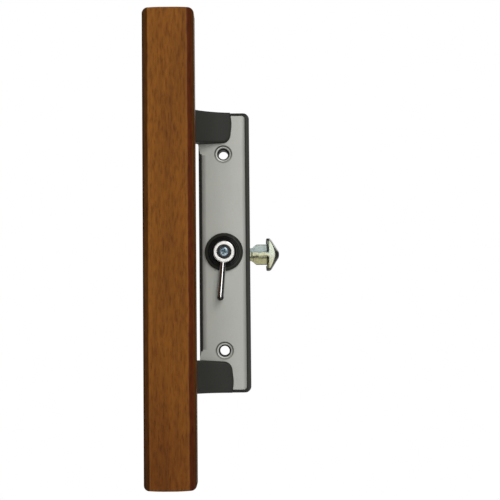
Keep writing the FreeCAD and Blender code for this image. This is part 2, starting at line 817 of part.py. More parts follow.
def bolt_head():
    """Mushroom head: a blunt cone with a thick round rim, curled back, and a flat at the front and back."""
    curl_radius = head_radius - head_rim_wall
    profile = [
        (head_under_x, 0), (head_under_x, curl_radius - head_rim_curl), (head_back_x, curl_radius),
        (head_back_x, head_radius), (head_rim_x, head_radius),
        (head_apex_x, head_nose_radius), (head_apex_x, 0),
    ]
    radii = [0, head_rim_wall, head_rim_wall / 4, head_rim_wall / 2, head_rim_round, head_nose_round, 0]
    points = [V(x, bolt_y, bolt_z + r) for x, r in profile]
    head = Part.Face(outline(points, radii)).revolve(V(0, bolt_y, bolt_z), V(1, 0, 0), 360)
    slab = box(
        head_back_x - overshoot, head_apex_x + overshoot, bolt_y - fin_half_depth, bolt_y + fin_half_depth,
        bolt_z - head_radius - overshoot, bolt_z + head_radius + overshoot)
    return head.common(slab)


def make_latch_bolt():
    """Die-cast bolt: stem, crossed fins and mushroom head in one piece."""
    bolt = bolt_stem().fuse(bolt_side_fins() + [bolt_ridges(), bolt_head()]).removeSplitter()
    for x, z in rivet_places():
        bolt = bolt.cut(rod_y(x, z, rivet_radius + thread_gap, bolt_y - rivet_bite - rivet_gap, 0))
    return bolt


def make_bolt_rivets():
    """Two countersunk rivets from the slide into the bolt."""
    rivets = []
    for x, z in rivet_places():
        head = cone_y(
            x, z, rivet_radius, rivet_head_radius, slide_back_y - slide_thickness / 2, slide_back_y)
        rivets.append(head.fuse(rod_y(x, z, rivet_radius, bolt_y - rivet_bite, slide_back_y)))
    return Part.makeCompound(rivets)


def make_back_cover():
    """Steel sheet that closes the mechanism, with the spindle's rear bearing."""
    width = cavity_right_x - cavity_left_x - 2 * slide_gap
    cover = rounded_plate(plate_shift, width, cover_length, cover_corner, -cover_thickness, 0)
    cover = cover.cut(rod_y(0, 0, tail_radius + running_gap, -cover_thickness - overshoot, overshoot))
    for x, z in cover_post_places():
        sink = cone_y(
            x, z, cover_screw_radius + thread_gap, cover_screw_head_radius + thread_gap,
            -cover_thickness, 0)
        cover = cover.cut(sink)
    return cover


def make_cover_screws():
    """Four countersunk screws, flush with the cover's back."""
    screws = []
    for x, z in cover_post_places():
        head = cone_y(x, z, cover_screw_radius, cover_screw_head_radius, -cover_thickness, 0)
        shank = rod_y(x, z, cover_screw_radius, -cover_thickness - cover_screw_length, -cover_thickness)
        recess = cross_recess(
            x, z, cover_screw_head_radius * recess_size_ratio, 0, -cover_thickness * head_round_ratio)
        screws.append(head.fuse(shank).cut(recess))
    return Part.makeCompound(screws)


def make_arm_screws():
    """Four screws from the plate's hollow back into the feet of the arms."""
    screws = []
    for x, z in arm_screw_places():
        length = front_wall + arm_screw_bite
        screw = pan_screw(x, z, inner_y, 1, arm_screw_head_radius, arm_screw_radius, length)
        screws.extend(both_ends(screw))
    return Part.makeCompound(screws)


def make_grip_screws():
    """Four wood screws through the pads into the back of the grip."""
    screws = []
    length = pad_thickness + grip_screw_bite
    for x, z in grip_screw_places():
        for end in (-1, 1):
            screws.append(pan_screw(
                x, end * z + arm_lean, pad_back_y, 1, grip_screw_head_radius, grip_screw_radius, length))
    return Part.makeCompound(screws)


def make_lever_screw():
    """Cross-head screw that holds the thumb lever on the spindle."""
    seat = recess_y - lever_washer_thickness
    screw = pan_screw(0, 0, seat, -1, lever_screw_head_radius, lever_screw_radius, lever_screw_bite)
    screw.rotate(V(0, 0, 0), V(0, 1, 0), lever_screw_turn)
    return screw


def main():
    """Build every piece and write each one to its own file."""
    pieces = {
        "wood_grip": make_grip(),
        "housing": make_housing(),
        "face_plate": make_face_plate(),
        "upper_bracket": make_arm(1),
        "lower_bracket": flipped(make_arm(-1)),
        "bracket_screws": make_arm_screws(),
        "grip_screws": make_grip_screws(),
        "turn_bezel": make_bezel(),
        "thumb_lever": make_thumb_lever(),
        "lever_washer": make_lever_washer(),
        "lever_screw": make_lever_screw(),
        "spindle": make_spindle(),
        "wave_washer": make_wave_washer(),
        "drive_crank": make_crank(),
        "crank_pin": make_crank_pin(),
        "crank_clip": make_crank_clip(),
        "bolt_slide": make_bolt_slide(),
        "latch_bolt": make_latch_bolt(),
        "bolt_rivets": make_bolt_rivets(),
        "back_cover": make_back_cover(),
        "cover_screws": make_cover_screws(),
    }
    os.makedirs("parts", exist_ok=True)
    for name, shape in pieces.items():
        print(name, len(shape.Solids), shape.isValid(), round(shape.Volume, 1))
        shape.exportStep("parts/" + name + ".step")


main()
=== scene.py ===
import json
import math

import bpy
from mathutils import Euler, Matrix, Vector

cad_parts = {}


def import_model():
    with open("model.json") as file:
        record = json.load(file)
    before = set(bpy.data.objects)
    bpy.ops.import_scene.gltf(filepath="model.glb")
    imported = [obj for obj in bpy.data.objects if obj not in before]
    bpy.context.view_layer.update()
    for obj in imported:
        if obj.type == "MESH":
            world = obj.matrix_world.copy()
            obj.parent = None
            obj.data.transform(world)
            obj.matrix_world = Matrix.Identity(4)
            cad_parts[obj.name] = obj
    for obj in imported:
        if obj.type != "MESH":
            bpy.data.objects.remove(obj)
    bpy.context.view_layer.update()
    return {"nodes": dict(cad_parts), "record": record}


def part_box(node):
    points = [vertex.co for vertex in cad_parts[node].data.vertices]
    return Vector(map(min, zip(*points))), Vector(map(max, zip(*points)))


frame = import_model()

# Camera: place in metres, turn in degrees, focal length in pixels of the 500 pixel frame
CAMERA_PLACE = (0.0121, -0.7811, -0.0398)
CAMERA_PITCH = 3.05
CAMERA_YAW = -0.333
CAMERA_ROLL = 0.54
CAMERA_NEAR = 0.01
FOCAL_PIXELS = 1208.0
FRAME_PIXELS = 500
SENSOR_MM = 36.0

# Floor: its height and size in metres, where it starts to fade, and its finish
FLOOR_Z = -0.262
FLOOR_RADIUS = 0.6
FLOOR_SIDES = 96
FLOOR_FADE_FROM = 0.25
FLOOR_COLOUR = (0.86, 0.86, 0.85)
FLOOR_ROUGHNESS = 0.9

# Room that glossy surfaces mirror: its levels from the camera's side to the backdrop, and its floor
ROOM_LEVELS = [(0.0, 0.035), (0.88, 0.055), (0.98, 1.0)]
ROOM_FLOOR_EDGE = (-0.3, -0.12)
ROOM_FLOOR_TONE = (0.6, 0.6, 0.6)
AMBIENT_STRENGTH = 0.32

# Lamps that face the part: name, place and size in metres, and power in watts
LAMPS = [
    ("key", (0.5, -0.95, 0.85), (0.6, 0.6), 8.9),
    ("front", (0.22, -1.5, 0.15), (0.45, 1.5), 7.0),
    ("behind", (0.7, 1.3, 0.8), (0.8, 0.8), 7.0),
]

# Noise values lie mostly between these two, and an edge-rounding normal takes this many samples
NOISE_LOW = 0.25
NOISE_HIGH = 0.75
ROUNDING_SAMPLES = 6

# An edge below is a pair of places, in metres, between which a mask eases in or out.
# A ramp's stops are its places from 0 to 1, each with a colour or a grey level.
# A noise's scale multiplies the metres along each axis.

# Wood: figure, streaks, pores and flecks along the grain
WOOD_FIGURE_SCALE = (60, 60, 5)
WOOD_FIGURE_TONES = [
    (0.3, (0.168, 0.055, 0.006)), (0.52, (0.208, 0.07, 0.0078)), (0.72, (0.25, 0.09, 0.0108)),
]
WOOD_STREAK_SCALE = (300, 300, 22)
WOOD_STREAK_TONES = [(0.34, 0.9), (0.52, 1.0), (0.7, 1.06)]
WOOD_PORE_SCALE = (1500, 1500, 190)
WOOD_PORE_TONES = [(0.33, 0.62), (0.45, 1.0), (0.62, 1.0), (0.72, 1.12)]
WOOD_PORE_SHARE = 0.8
WOOD_PORE_HEIGHTS = [(0.33, 0.0), (0.45, 1.0), (1.0, 1.0)]
WOOD_PORE_DEPTH = 0.00006
WOOD_FLECK_SCALE = (640, 640, 150)
WOOD_FLECK_TURN = (0, 0, 0.7)
WOOD_FLECK_TONES = [(0.3, (0.72, 0.66, 0.6)), (0.5, 1.0), (0.72, (1.14, 1.2, 1.24))]
WOOD_FLECK_SHARE = 0.75
WOOD_ROUGHNESS = (0.5, 0.62)
WOOD_SHINE = 0.1
WOOD_ROUNDING = 0.0006

# Wood's sides, outer strips and chamfers, darkened with painted shade, and a paler line inside each, from
# the side inward
WOOD_SIDE_EDGE = (0.0001, 0.0004)
WOOD_OUTER_EDGE = (0.0009, 0.0016)
WOOD_CHAMFER_EDGE = (0.0036, 0.0042)
WOOD_PALE_LINE_START = (0.0036, 0.0041)
WOOD_PALE_LINE_END = (0.0045, 0.0052)
WOOD_EDGE_SHIFT = 0.0003
WOOD_EDGE_WANDER = 0.0016
WOOD_SIDE_SHADE = (0.44, 0.42, 0.5)
WOOD_OUTER_SHADE = (0.31, 0.32, 0.36)
WOOD_LEFT_SHADE = (0.5, 0.5, 0.66)
WOOD_RIGHT_SHADE = (0.42, 0.24, 0.29)
WOOD_PALE_LINE_TONE = (0.33, 0.155, 0.04)
WOOD_PALE_LINE_SHARE = 0.07

# Wood's foot, which darkens over its lowest stretch
WOOD_FOOT_EDGE = (0.0, 0.105)
WOOD_FOOT_DARKENING = (0.7, 0.62, 0.55)

# Paint: broad handling marks and fine grit
PAINT_BROAD_SCALE = (45, 45, 22)
PAINT_BROAD_TONES = [(0.3, 0.93), (0.7, 1.06)]
PAINT_GRIT_SCALE = (2600, 2600, 2600)
PAINT_GRIT_TONES = [(0.3, 0.94), (0.7, 1.05)]
PAINT_GRIT_SHARE = 0.7

# Charcoal castings, and the plate's right rim, painted paler as a painted highlight where it catches light
CHARCOAL_PAINT = (0.0262, 0.0262, 0.0226)
CHARCOAL_ROUGHNESS = (0.55, 0.62)
CHARCOAL_SHINE = 0.2
CHARCOAL_ROUNDING = 0.0005
CHARCOAL_PEEL = 0.00002
RIM_WIDTH = 0.0024
RIM_HIGHLIGHT_TONE = (0.046, 0.047, 0.041)

# Silver face: its width, rolled long edges, tabs beside the arms, and dished holes, each with a groove
# round it that holds painted shade
FACE_PAINT = (0.385, 0.39, 0.355)
FACE_ROUGHNESS = (0.4, 0.48)
FACE_METALLIC = 0.3
FACE_SHINE = 0.5
FACE_ROUNDING = 0.0002
FACE_PEEL = 0.00001
FACE_WIDTH = 0.0279
FACE_ROLL_WIDTH = 0.003
FACE_ROLL_DROP = 0.0012
FACE_TAB_EDGE = (0.0615, 0.0625)
FACE_DISH_EDGE = (0.0037, 0.0051)
FACE_DISH_DROP = 0.0003
# Paler tone inside each hole's groove
FACE_DISH_PALE_TONE = (0.6, 0.6, 0.56)
HOLE_SPACING = 0.1254
GROOVE_RADIUS = 0.00535
GROOVE_CORE = 0.0002
GROOVE_REACH = 0.0007
GROOVE_PALE_FROM = 0.0003
GROOVE_PALE_TO = 0.0008
# Painted shade in each groove, fainter below the hole's axis
GROOVE_FADE_EDGE = (-0.005, 0.002)
GROOVE_FAINTEST = 0.35
GROOVE_PAINTED_SHADE = (0.16, 0.16, 0.15)

# Plating: slow drift of its tint, and fine scratches
PLATING_DRIFT_SCALE = (160, 160, 160)
PLATING_SCRATCH_SCALE = (4000, 900, 300)
PLATING_SCRATCH_TURN = (0.4, 0.9, 0.2)
PLATING_SCRATCH_DEPTH = 0.000006
PLATING_ROUNDING = 0.0002
ZINC_TONES = [(0.3, (0.5, 0.51, 0.53)), (0.7, (0.66, 0.67, 0.68))]
ZINC_ROUGHNESS = (0.28, 0.4)
DARK_STEEL_TONES = [(0.3, 0.02), (0.7, 0.05)]
DARK_STEEL_ROUGHNESS = (0.3, 0.45)

# Thumb lever: bright chrome, brushed soft on its cup's lip, with a painted dark reflection on its tip
CHROME_TONES = [(0.3, (0.76, 0.76, 0.75)), (0.7, (0.84, 0.83, 0.81))]
CHROME_ROUGHNESS = (0.05, 0.1)
CUP_RADIUS = 0.0069
CUP_BLEND = 0.0006
CUP_ROUGHNESS = 0.3
CUP_TONE = (0.8, 0.79, 0.77)
LEVER_TIP_LENGTH = 0.0032
LEVER_TIP_DARK_REFLECTION = (0.06, 0.06, 0.055)

# Thumb lever's screw: its blue tint, and the shade down in its cross
SCREW_DRIFT_SCALE = (700, 700, 700)
SCREW_TONES = [(0.35, (0.1, 0.17, 0.22)), (0.6, (0.36, 0.42, 0.46))]
SCREW_ROUGHNESS = (0.24, 0.34)
SCREW_METALLIC = 0.8
SCREW_ROUNDING = 0.00015
SCREW_CROSS_EDGE = (0.00025, 0.0005)
SCREW_CROSS_RADIUS = 0.0023
SCREW_CROSS_BLEND = 0.0006
SCREW_CROSS_SHADE = (0.26, 0.3, 0.32)

# Bolt's tones from its low side to its high one: straw yellow, painted shadow in the crease under the
# ridge, pale ridge, a dark line of painted shade above it, bluish
BOLT_HALF_HEIGHT = 0.007
BOLT_SHANK_TONES = [
    (0.0, (0.29, 0.28, 0.15)), (0.22, (0.29, 0.28, 0.15)),
    (0.28, (0.08, 0.08, 0.05)), (0.33, (0.1, 0.1, 0.06)),
    (0.38, (0.42, 0.42, 0.27)), (0.48, (0.46, 0.46, 0.3)), (0.62, (0.46, 0.48, 0.35)),
    (0.66, (0.16, 0.2, 0.2)),
    (0.7, (0.26, 0.32, 0.32)), (1.0, (0.35, 0.4, 0.37)),
]
BOLT_HEAD_TONES = [(0.0, (0.42, 0.42, 0.29)), (0.5, (0.5, 0.53, 0.44)), (1.0, (0.52, 0.56, 0.44))]
BOLT_MOTTLE_SCALE = (420, 420, 420)
BOLT_MOTTLE_TONES = [(0.3, 0.74), (0.6, 1.0), (0.75, 1.08)]
BOLT_MOTTLE_WANDER = 0.004
BOLT_MOTTLE_DEPTH = 0.00004
BOLT_ROUGHNESS = (0.24, 0.36)
BOLT_METALLIC = 0.6
BOLT_ROUNDING = 0.0004

# Bolt's head: its length outside the fins, and its cone's slope, radius at the tip's plane and edge; the
# cone is darkened as a painted dark reflection
BOLT_HEAD_LENGTH = 0.0066
BOLT_HEAD_BLEND = 0.0004
BOLT_CONE_SLOPE = 1.618
BOLT_CONE_TIP = 0.0016
BOLT_CONE_EDGE = (-0.0011, -0.0006)
BOLT_CONE_DARK_REFLECTION = (0.1, 0.11, 0.1)

# Dark lines of painted shade and dark reflection on the bolt's edges: the fins' and the head's reach from
# its axis, and the head's back
BOLT_FIN_REACH = 0.0065
BOLT_HEAD_REACH = 0.0105
BOLT_HEAD_BACK = 0.0083
BOLT_LINE_WIDTH = 0.0006
BOLT_LINE_SHADE = (0.3, 0.31, 0.26)

# Black boss: where its bevel starts, painted highlights on its bevel and ring edges, and a painted sheen on
# its right
BEZEL_DUST_SCALE = (1800, 1800, 1800)
BEZEL_DUST_TONES = [(0.4, 0.001), (0.75, 0.003)]
BEZEL_SWIRL_SCALE = (300, 300, 300)
BEZEL_SHEEN_EDGE = (0.0, 0.009)
BEZEL_SHEEN_WANDER = 0.012
BEZEL_SHEEN_TONE = (0.004, 0.004, 0.003)
BEZEL_BEVEL_RADIUS = 0.01025
BEZEL_BEVEL_HIGHLIGHT = (0.026, 0.026, 0.022)
BEZEL_RING_COUNT = 3
BEZEL_RING_WIDTH = 0.00105
BEZEL_LINE_WIDTH = 0.0003
BEZEL_LINE_FAINTEST = 0.25
BEZEL_LINE_HIGHLIGHT = (0.055, 0.055, 0.048)
BEZEL_ROUGHNESS = (0.1, 0.18)
BEZEL_SHINE = 0.06
BEZEL_ROUNDING = 0.00015


def shader(name):
    """Material with its node tree and its Principled shader."""
    mat = bpy.data.materials.new(name)
    mat.use_nodes = True
    tree = mat.node_tree
    return mat, tree, tree.nodes["Principled BSDF"]


def feed(tree, socket, value):
    """Link an input to another node's output, or set it to a number, a vector or a colour."""
    if isinstance(value, bpy.types.NodeSocket):
        tree.links.new(value, socket)
    elif socket.type == "RGBA":
        socket.default_value = (*value, 1)
    else:
        socket.default_value = value


def node(tree, kind, **inputs):
    """Node with some of its inputs fed. Names with spaces are written with underscores."""
    made = tree.nodes.new(kind)
    for key, value in inputs.items():
        feed(tree, made.inputs[key.replace("_", " ")], value)
    return made


def point(tree, kind="Object"):
    """X, Y and Z of a coordinate, by default the object's own in metres."""
    coords = tree.nodes.new("ShaderNodeTexCoord")
    return node(tree, "ShaderNodeSeparateXYZ", Vector=coords.outputs[kind]).outputs


def noise(tree, scale, detail, roughness, distortion=0.0, turn=(0, 0, 0)):
    """Noise value over the object's coordinates."""
    coords = tree.nodes.new("ShaderNodeTexCoord")
    vector = node(tree, "ShaderNodeMapping", Vector=coords.outputs["Object"], Scale=scale, Rotation=turn)
    return node(
        tree, "ShaderNodeTexNoise", Vector=vector.outputs["Vector"], Scale=1.0, Detail=detail,
        Roughness=roughness, Distortion=distortion).outputs["Fac"]


def ramp(tree, value, stops):
    """Colour ramp through its stops."""
    made = node(tree, "ShaderNodeValToRGB", Fac=value)
    points = made.color_ramp.elements
    while len(points) < len(stops):
        points.new(0.5)
    for stop, (position, colour) in zip(points, stops):
        stop.position = position
        stop.color = (*colour, 1) if isinstance(colour, tuple) else (colour, colour, colour, 1)
    return made.outputs["Color"]


def mix(tree, factor, first, second, blend="MIX"):
    """Blend of two colours. The factor and each colour are a socket or a constant."""
    made = tree.nodes.new("ShaderNodeMix")
    made.data_type = "RGBA"
    made.blend_type = blend
    for socket, value in ((made.inputs[0], factor), (made.inputs[6], first), (made.inputs[7], second)):
        feed(tree, socket, value)
    return made.outputs[2]


def math_node(tree, operation, first, second=0.0):
    """Arithmetic on two values, each a socket or a constant."""
    made = tree.nodes.new("ShaderNodeMath")
    made.operation = operation
    for socket, value in zip(made.inputs, (first, second)):
        feed(tree, socket, value)
    return made.outputs[0]


def times(tree, first, second):
    """Product of two values."""
    return math_node(tree, "MULTIPLY", first, second)


def wander(tree, value, reach):
    """Noise value as a shift of up to about half a reach either way."""
    return times(tree, math_node(tree, "SUBTRACT", value, 0.5), reach)


def span(tree, value, low, high):
    """Noise value spread over a range."""
    return node(
        tree, "ShaderNodeMapRange", Value=value, From_Min=NOISE_LOW, From_Max=NOISE_HIGH, To_Min=low,
        To_Max=high).outputs["Result"]


def eased(tree, value, start, end, low=0.0, high=1.0):
    """Value eased from low to high between two places."""
    made = node(
        tree, "ShaderNodeMapRange", Value=value, From_Min=start, From_Max=end, To_Min=low, To_Max=high)
    made.interpolation_type = "SMOOTHSTEP"
    return made.outputs["Result"]


def after(tree, value, edge):
    """Mask that is 0 before an edge and 1 past it."""
    return eased(tree, value, edge[0], edge[1])


def before(tree, value, edge):
    """Mask that is 1 before an edge and 0 past it."""
    return eased(tree, value, edge[1], edge[0])


def soft_edges(tree, radius):
    """Normal rounded over sharp edges."""
    made = node(tree, "ShaderNodeBevel", Radius=radius)
    made.samples = ROUNDING_SAMPLES
    return made.outputs["Normal"]


def bump(tree, height, distance, strength, normal):
    """Bump from a height value over another normal."""
    return node(
        tree, "ShaderNodeBump", Height=height, Distance=distance, Strength=strength,
        Normal=normal).outputs["Normal"]


def link_looks(tree, bsdf, colour, roughness, normal):
    """Link a shader's colour, roughness and normal."""
    tree.links.new(colour, bsdf.inputs["Base Color"])
    tree.links.new(roughness, bsdf.inputs["Roughness"])
    tree.links.new(normal, bsdf.inputs["Normal"])


def past_plane(tree, axis, plane):
    """Distance in metres past a plane across an axis."""
    return math_node(tree, "SUBTRACT", point(tree)[axis], plane)


def short_of_plane(tree, axis, plane):
    """Distance in metres short of a plane across an axis."""
    return math_node(tree, "SUBTRACT", plane, point(tree)[axis])


def length_of(tree, *shares):
    """Length of a line from its shares along two axes."""
    squares = [math_node(tree, "POWER", share, 2.0) for share in shares]
    return math_node(tree, "SQRT", math_node(tree, "ADD", *squares))


def radius_from_axis(tree, axis="Y", middle=(0, 0)):
    """Distance in metres from a line along an axis, by default the thumb turn's."""
    here = point(tree)
    others = [name for name in "XYZ" if name != axis]
    shares = [math_node(tree, "SUBTRACT", here[name], centre) for name, centre in zip(others, middle)]
    return length_of(tree, *shares)


def from_hole(tree):
    """Distance from the nearer screw hole's axis, and height above that axis, in metres."""
    here = point(tree)
    hole_height = times(tree, math_node(tree, "SIGN", here["Z"]), HOLE_SPACING / 2)
    above = math_node(tree, "SUBTRACT", here["Z"], hole_height)
    return length_of(tree, here["X"], above), above


def arc_of(tree, inward, width):
    """Height of a rolled edge, from 0 at the edge to 1 past its width."""
    share = math_node(tree, "DIVIDE", inward, width)
    share = math_node(tree, "MINIMUM", math_node(tree, "MAXIMUM", share, 0.0), 1.0)
    return math_node(tree, "SQRT", times(tree, share, math_node(tree, "SUBTRACT", 2.0, share)))


def shaded_side(tree, base, streaks, inward, side_shade, shift):
    """Wood colour with painted shade on one long side and its chamfer, and a paler line at the chamfer's
    inner edge.
    """
    uneven = math_node(
        tree, "ADD", math_node(tree, "ADD", inward, shift), wander(tree, streaks, WOOD_EDGE_WANDER))
    pale_line = times(tree, after(tree, uneven, WOOD_PALE_LINE_START), before(tree, uneven, WOOD_PALE_LINE_END))
    base = mix(tree, times(tree, pale_line, WOOD_PALE_LINE_SHARE), base, WOOD_PALE_LINE_TONE)
    chamfer = times(tree, before(tree, uneven, WOOD_CHAMFER_EDGE), after(tree, inward, WOOD_OUTER_EDGE))
    base = mix(tree, chamfer, base, side_shade, "MULTIPLY")
    outer = times(tree, before(tree, inward, WOOD_OUTER_EDGE), after(tree, inward, WOOD_SIDE_EDGE))
    base = mix(tree, outer, base, WOOD_OUTER_SHADE, "MULTIPLY")
    return mix(tree, before(tree, inward, WOOD_SIDE_EDGE), base, WOOD_SIDE_SHADE, "MULTIPLY")


def wood_material():
    """Lacquered mahogany: figure, fine pores and flecks along the grain, painted shade on its sides and
    chamfers, and paler lines along the front's edges.
    """
    mat, tree, bsdf = shader("grip_wood")
    low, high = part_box("wood_grip")
    figure = noise(tree, WOOD_FIGURE_SCALE, 4, 0.55, 0.5)
    streaks = noise(tree, WOOD_STREAK_SCALE, 4, 0.6, 0.3)
    pores = noise(tree, WOOD_PORE_SCALE, 3, 0.55)
    flecks = noise(tree, WOOD_FLECK_SCALE, 2, 0.5, turn=WOOD_FLECK_TURN)
    base = ramp(tree, figure, WOOD_FIGURE_TONES)
    base = mix(tree, 1.0, base, ramp(tree, streaks, WOOD_STREAK_TONES), "MULTIPLY")
    base = mix(tree, WOOD_PORE_SHARE, base, ramp(tree, pores, WOOD_PORE_TONES), "MULTIPLY")
    base = mix(tree, WOOD_FLECK_SHARE, base, ramp(tree, flecks, WOOD_FLECK_TONES), "MULTIPLY")
    foot = before(tree, past_plane(tree, "Z", low.z), WOOD_FOOT_EDGE)
    base = mix(tree, foot, base, WOOD_FOOT_DARKENING, "MULTIPLY")
    from_left = past_plane(tree, "X", low.x)
    from_right = short_of_plane(tree, "X", high.x)
    # Painted shade on both long sides and their chamfers, redder on the right
    base = shaded_side(tree, base, streaks, from_left, WOOD_LEFT_SHADE, WOOD_EDGE_SHIFT)
    base = shaded_side(tree, base, streaks, from_right, WOOD_RIGHT_SHADE, -WOOD_EDGE_SHIFT)
    bsdf.inputs["Specular IOR Level"].default_value = WOOD_SHINE
    pore_height = ramp(tree, pores, WOOD_PORE_HEIGHTS)
    normal = bump(tree, pore_height, WOOD_PORE_DEPTH, 0.5, soft_edges(tree, WOOD_ROUNDING))
    link_looks(tree, bsdf, base, span(tree, streaks, *WOOD_ROUGHNESS), normal)
    return mat


def painted_material(name, colour, roughness, metallic, shine, rounding, orange_peel):
    """Satin paint with handling marks and a fine orange peel. Its colour and normal are left to link."""
    mat, tree, bsdf = shader(name)
    broad = noise(tree, PAINT_BROAD_SCALE, 4, 0.6)
    grit = noise(tree, PAINT_GRIT_SCALE, 2, 0.5)
    base = mix(tree, 1.0, colour, ramp(tree, broad, PAINT_BROAD_TONES), "MULTIPLY")
    base = mix(tree, PAINT_GRIT_SHARE, base, ramp(tree, grit, PAINT_GRIT_TONES), "MULTIPLY")
    tree.links.new(span(tree, broad, *roughness), bsdf.inputs["Roughness"])
    bsdf.inputs["Metallic"].default_value = metallic
    bsdf.inputs["Specular IOR Level"].default_value = shine
    normal = bump(tree, grit, orange_peel, 0.5, soft_edges(tree, rounding))
    return mat, tree, bsdf, base, normal


def charcoal_material():
    """Satin charcoal paint, with a painted highlight along the plate's right rim."""
    mat, tree, bsdf, base, normal = painted_material(
        "charcoal_paint", CHARCOAL_PAINT, CHARCOAL_ROUGHNESS, 0.0, CHARCOAL_SHINE, CHARCOAL_ROUNDING,
        CHARCOAL_PEEL)
    from_right = short_of_plane(tree, "X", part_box("housing")[1].x)
    # Painted highlight along the plate's right rim
    base = mix(tree, before(tree, from_right, (RIM_WIDTH / 2, RIM_WIDTH)), base, RIM_HIGHLIGHT_TONE)
    tree.links.new(base, bsdf.inputs["Base Color"])
    tree.links.new(normal, bsdf.inputs["Normal"])
    return mat


def rolled_face(tree, right):
    """Height of the face's rolled long edges: the right one whole, the left one between the tabs."""
    from_left = past_plane(tree, "X", right - FACE_WIDTH)
    from_right = short_of_plane(tree, "X", right)
    between_tabs = before(tree, math_node(tree, "ABSOLUTE", point(tree)["Z"]), FACE_TAB_EDGE)
    left_drop = math_node(tree, "SUBTRACT", 1.0, arc_of(tree, from_left, FACE_ROLL_WIDTH))
    return math_node(
        tree, "SUBTRACT", arc_of(tree, from_right, FACE_ROLL_WIDTH), times(tree, left_drop, between_tabs))


def face_material():
    """Silver-grey sheet: its long edges roll back, its holes are dished and paler inside, and painted shade
    fills their grooves, fainter below each hole's axis.
    """
    mat, tree, bsdf, base, normal = painted_material(
        "silver_paint", FACE_PAINT, FACE_ROUGHNESS, FACE_METALLIC, FACE_SHINE, FACE_ROUNDING, FACE_PEEL)
    normal = bump(tree, rolled_face(tree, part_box("face_plate")[1].x), FACE_ROLL_DROP, 1.0, normal)
    radius, above = from_hole(tree)
    normal = bump(tree, after(tree, radius, FACE_DISH_EDGE), FACE_DISH_DROP, 1.0, normal)
    tree.links.new(normal, bsdf.inputs["Normal"])
    # Painted shade in the groove round each hole, fainter below its axis
    groove = times(
        tree, after(tree, radius, (GROOVE_RADIUS - GROOVE_REACH, GROOVE_RADIUS - GROOVE_CORE)),
        before(tree, radius, (GROOVE_RADIUS + GROOVE_CORE, GROOVE_RADIUS + GROOVE_REACH)))
    groove = times(tree, groove, eased(tree, above, *GROOVE_FADE_EDGE, GROOVE_FAINTEST, 1.0))
    # Paler tone inside each groove
    pale_dish = before(tree, radius, (GROOVE_RADIUS - GROOVE_PALE_TO, GROOVE_RADIUS - GROOVE_PALE_FROM))
    base = mix(tree, pale_dish, base, FACE_DISH_PALE_TONE)
    tree.links.new(mix(tree, groove, base, GROOVE_PAINTED_SHADE, "MULTIPLY"), bsdf.inputs["Base Color"])
    return mat


def plating(tree):
    """Plated metal's drift and scratches as noise values, and its normal."""
    drift = noise(tree, PLATING_DRIFT_SCALE, 3, 0.5, 0.4)
    scratches = noise(tree, PLATING_SCRATCH_SCALE, 3, 0.6, turn=PLATING_SCRATCH_TURN)
    normal = bump(tree, scratches, PLATING_SCRATCH_DEPTH, 0.4, soft_edges(tree, PLATING_ROUNDING))
    return drift, scratches, normal


def plated_material(name, tones, roughness):
    """Plated metal whose tint drifts over the surface, with fine scratches."""
    mat, tree, bsdf = shader(name)
    drift, scratches, normal = plating(tree)
    bsdf.inputs["Metallic"].default_value = 1.0
    link_looks(tree, bsdf, ramp(tree, drift, tones), span(tree, scratches, *roughness), normal)
    return mat


def chrome_material():
    """Bright chrome, polished on the rod and brushed soft round the cup's lip, with a painted dark
    reflection on its tip.
    """
    mat, tree, bsdf = shader("chrome_plate")
    drift, scratches, normal = plating(tree)
    bsdf.inputs["Metallic"].default_value = 1.0
    cup = before(tree, radius_from_axis(tree), (CUP_RADIUS, CUP_RADIUS + CUP_BLEND))
    brushed = times(tree, cup, CUP_ROUGHNESS)
    roughness = math_node(tree, "ADD", span(tree, scratches, *CHROME_ROUGHNESS), brushed)
    tone = mix(tree, cup, ramp(tree, drift, CHROME_TONES), CUP_TONE, "MULTIPLY")
    # Painted dark reflection on the lever's rounded tip
    from_tip = past_plane(tree, "Z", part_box("thumb_lever")[0].z)
    tip = before(tree, from_tip, (LEVER_TIP_LENGTH / 2, LEVER_TIP_LENGTH))
    link_looks(tree, bsdf, mix(tree, tip, tone, LEVER_TIP_DARK_REFLECTION, "MULTIPLY"), roughness, normal)
    return mat


def screw_material():
    """Blue zinc screw, with shade and dirt down in its cross."""
    mat, tree, bsdf = shader("blue_zinc_steel")
    drift = noise(tree, SCREW_DRIFT_SCALE, 3, 0.5, 0.4)
    sunk = after(tree, past_plane(tree, "Y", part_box("lever_screw")[0].y), SCREW_CROSS_EDGE)
    inner_edge = (SCREW_CROSS_RADIUS - SCREW_CROSS_BLEND, SCREW_CROSS_RADIUS)
    cross = times(tree, sunk, before(tree, radius_from_axis(tree), inner_edge))
    tone = mix(tree, cross, ramp(tree, drift, SCREW_TONES), SCREW_CROSS_SHADE, "MULTIPLY")
    bsdf.inputs["Metallic"].default_value = SCREW_METALLIC
    link_looks(tree, bsdf, tone, span(tree, drift, *SCREW_ROUGHNESS), soft_edges(tree, SCREW_ROUNDING))
    return mat


def bolt_lines(tree, from_middle, out, tip):
    """Mask of the dark lines of painted shade and dark reflection on the bolt head's outer rim and, outside
    the fins, on its back.
    """
    rim = after(tree, out, (BOLT_HEAD_REACH - BOLT_LINE_WIDTH, BOLT_HEAD_REACH - BOLT_LINE_WIDTH / 2))
    back_x = tip - BOLT_HEAD_BACK
    back = before(tree, point(tree)["X"], (back_x + BOLT_LINE_WIDTH / 2, back_x + BOLT_LINE_WIDTH))
    outside_fins = after(tree, from_middle, (BOLT_FIN_REACH, BOLT_FIN_REACH + BOLT_LINE_WIDTH))
    return math_node(tree, "MAXIMUM", rim, times(tree, back, outside_fins))


